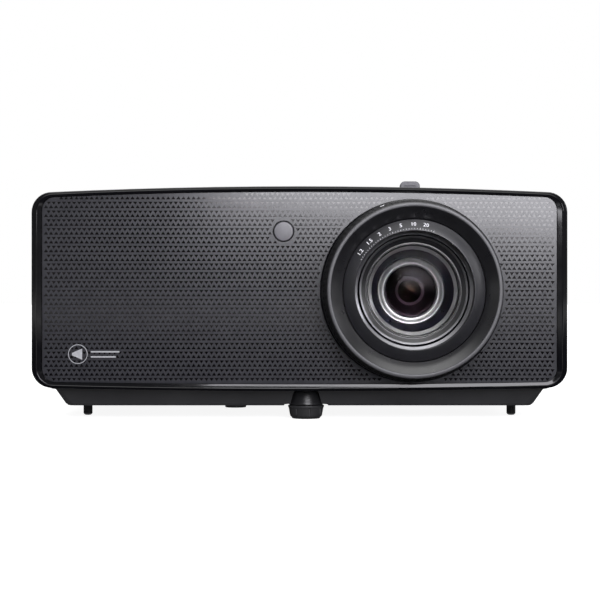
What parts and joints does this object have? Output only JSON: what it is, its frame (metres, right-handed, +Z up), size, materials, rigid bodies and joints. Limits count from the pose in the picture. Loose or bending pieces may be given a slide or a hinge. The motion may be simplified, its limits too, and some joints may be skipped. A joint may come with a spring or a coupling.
{
  "type": "home projector",
  "caption": "Wide, low home projector with a dimpled front in a gloss frame, a large off-centre lens, screw feet, top keys, side grilles and rear sockets.",
  "frame": {"origin": "on the floor, midway along the width and the depth", "axes": "+X to the lens side, which is the right as seen from the front; -Y out of the lens; +Z up"},
  "size_m": [0.4, 0.356, 0.18],
  "materials": {
    "gloss_black_abs": "high-gloss moulded black",
    "dimpled_panel_abs": "satin graphite plastic moulded with a field of fine dimples",
    "satin_black_abs": "fine-textured satin black moulding",
    "smoke_window_pc": "frosted grey infrared window",
    "black_anodised": "satin black anodised",
    "satin_lens_ring": "satin charcoal with light lettering",
    "bright_aluminium": "machined",
    "coated_glass": "violet anti-reflection coating",
    "optical_glass": "clear polished optical glass",
    "rubber": "moulded rubber",
    "zinc_steel": "zinc plated",
    "supply_case": "folded aluminium housing",
    "key_grey_abs": "fine matt",
    "light_guide_pc": "translucent light guide",
    "port_steel": "tinned steel shell",
    "port_nylon": "black glass-filled nylon",
    "circuit_board": "green solder mask",
    "cast_magnesium": "die cast, bead blasted",
    "phosphor_disc": "coated disc"
  },
  "bodies": {
    "root": {"top_cover": "satin_black_abs", "bottom_case": "satin_black_abs", "front_bezel": "gloss_black_abs", "front_panel": "dimpled_panel_abs", "ir_window": "smoke_window_pc", "rear_panel": "satin_black_abs", "intake_grille": "satin_black_abs", "exhaust_grille": "satin_black_abs", "keypad_bezel": "gloss_black_abs", "status_light": "light_guide_pc", "power_inlet": "port_nylon", "hdmi_port_1": "port_steel", "hdmi_port_2": "port_steel", "usb_port": "port_steel", "lan_port": "port_steel", "front_foot_collar": "gloss_black_abs", "steady_peg_left": "gloss_black_abs", "steady_peg_right": "gloss_black_abs", "lens_bezel": "gloss_black_abs", "lens_barrel": "black_anodised", "rear_lens_glass": "optical_glass", "engine_chassis": "cast_magnesium", "light_tunnel": "bright_aluminium", "prism_block": "optical_glass", "dmd_board": "circuit_board", "dmd_heatsink": "bright_aluminium", "laser_bank": "cast_magnesium", "laser_heatsink": "bright_aluminium", "main_board": "circuit_board", "power_supply": "supply_case", "intake_fan_frame": "satin_black_abs", "exhaust_fan_frame": "satin_black_abs"},
    "front_foot": {"front_foot_pad": "rubber"},
    "front_foot_spin": {"front_foot_knob": "satin_black_abs", "front_foot_screw": "zinc_steel"},
    "rear_left_foot": {"rear_left_foot_pad": "rubber"},
    "rear_left_foot_spin": {"rear_left_foot_knob": "satin_black_abs"},
    "rear_right_foot": {"rear_right_foot_pad": "rubber"},
    "rear_right_foot_spin": {"rear_right_foot_knob": "satin_black_abs"},
    "focus": {"focus_ring": "black_anodised", "lens_name_ring": "satin_lens_ring"},
    "front_lens_group": {"front_lens_cell": "black_anodised", "front_lens_glass": "optical_glass"},
    "zoom": {"zoom_ring": "black_anodised", "zoom_lever": "key_grey_abs"},
    "zoom_lens_group": {"zoom_lens_cell": "black_anodised", "zoom_lens_glass": "coated_glass", "relay_lens_glass": "coated_glass"},
    "phosphor_wheel": {"phosphor_wheel": "phosphor_disc"},
    "intake_fan": {"intake_fan_rotor": "satin_black_abs"},
    "exhaust_fan": {"exhaust_fan_rotor": "satin_black_abs"},
    "button_power": {"button_power": "key_grey_abs"},
    "button_menu": {"button_menu": "key_grey_abs"},
    "button_source": {"button_source": "key_grey_abs"},
    "button_enter": {"button_enter": "key_grey_abs"},
    "button_up": {"button_up": "key_grey_abs"},
    "button_down": {"button_down": "key_grey_abs"},
    "button_left": {"button_left": "key_grey_abs"},
    "button_right": {"button_right": "key_grey_abs"}
  },
  "joints": [
    {"name": "button_power_press", "type": "slide", "parent": "root", "child": "button_power", "axis": [0, 0, -1], "range_m": [0, 0.0006], "stiffness_N_per_m": 400},
    {"name": "button_menu_press", "type": "slide", "parent": "root", "child": "button_menu", "axis": [0, 0, -1], "range_m": [0, 0.0006], "stiffness_N_per_m": 400},
    {"name": "button_source_press", "type": "slide", "parent": "root", "child": "button_source", "axis": [0, 0, -1], "range_m": [0, 0.0006], "stiffness_N_per_m": 400},
    {"name": "button_enter_press", "type": "slide", "parent": "root", "child": "button_enter", "axis": [0, 0, -1], "range_m": [0, 0.0006], "stiffness_N_per_m": 400},
    {"name": "button_up_press", "type": "slide", "parent": "root", "child": "button_up", "axis": [0, 0, -1], "range_m": [0, 0.0006], "stiffness_N_per_m": 400},
    {"name": "button_down_press", "type": "slide", "parent": "root", "child": "button_down", "axis": [0, 0, -1], "range_m": [0, 0.0006], "stiffness_N_per_m": 400},
    {"name": "button_left_press", "type": "slide", "parent": "root", "child": "button_left", "axis": [0, 0, -1], "range_m": [0, 0.0006], "stiffness_N_per_m": 400},
    {"name": "button_right_press", "type": "slide", "parent": "root", "child": "button_right", "axis": [0, 0, -1], "range_m": [0, 0.0006], "stiffness_N_per_m": 400},
    {"name": "front_foot_travel", "type": "slide", "parent": "root", "child": "front_foot", "axis": [0, 0, -1], "range_m": [0, 0.01998]},
    {"name": "front_foot_turn", "type": "hinge", "parent": "front_foot", "child": "front_foot_spin", "pos_m": [0.005, -0.114, 0], "axis": [0, 0, -1], "range_deg": [0, 1799]},
    {"name": "rear_left_foot_travel", "type": "slide", "parent": "root", "child": "rear_left_foot", "axis": [0, 0, -1], "range_m": [0, 0.00999]},
    {"name": "rear_left_foot_turn", "type": "hinge", "parent": "rear_left_foot", "child": "rear_left_foot_spin", "pos_m": [-0.15, 0.14, 0], "axis": [0, 0, -1], "range_deg": [0, 1799]},
    {"name": "rear_right_foot_travel", "type": "slide", "parent": "root", "child": "rear_right_foot", "axis": [0, 0, -1], "range_m": [0, 0.00999]},
    {"name": "rear_right_foot_turn", "type": "hinge", "parent": "rear_right_foot", "child": "rear_right_foot_spin", "pos_m": [0.15, 0.14, 0], "axis": [0, 0, -1], "range_deg": [0, 1799]},
    {"name": "focus_turn", "type": "hinge", "parent": "root", "child": "focus", "pos_m": [0.0837, 0, 0.0971], "axis": [0, 1, 0], "range_deg": [-50, 70]},
    {"name": "front_lens_slide", "type": "slide", "parent": "root", "child": "front_lens_group", "axis": [0, 1, 0], "range_m": [-0.002, 0.002]},
    {"name": "zoom_turn", "type": "hinge", "parent": "root", "child": "zoom", "pos_m": [0.0837, 0, 0.0971], "axis": [0, 1, 0], "range_deg": [-8, 8]},
    {"name": "zoom_lens_slide", "type": "slide", "parent": "root", "child": "zoom_lens_group", "axis": [0, 1, 0], "range_m": [-0.0041, 0.0041]},
    {"name": "phosphor_wheel_spin", "type": "hinge", "parent": "root", "child": "phosphor_wheel", "pos_m": [-0.037, 0.022, 0.0701], "axis": [1, 0, 0], "continuous": true},
    {"name": "intake_fan_spin", "type": "hinge", "parent": "root", "child": "intake_fan", "pos_m": [-0.176, -0.01, 0.109], "axis": [1, 0, 0], "continuous": true},
    {"name": "exhaust_fan_spin", "type": "hinge", "parent": "root", "child": "exhaust_fan", "pos_m": [0.175, 0.04, 0.109], "axis": [1, 0, 0], "continuous": true}
  ],
  "couplings": [
    {"joint": "front_foot_turn", "follows": "front_foot_travel", "rad_per_m": 1570.8},
    {"joint": "rear_left_foot_turn", "follows": "rear_left_foot_travel", "rad_per_m": 3141.6},
    {"joint": "rear_right_foot_turn", "follows": "rear_right_foot_travel", "rad_per_m": 3141.6},
    {"joint": "front_lens_slide", "follows": "focus_turn", "m_per_rad": 0.0014},
    {"joint": "zoom_lens_slide", "follows": "zoom_turn", "m_per_rad": 0.0286}
  ]
}
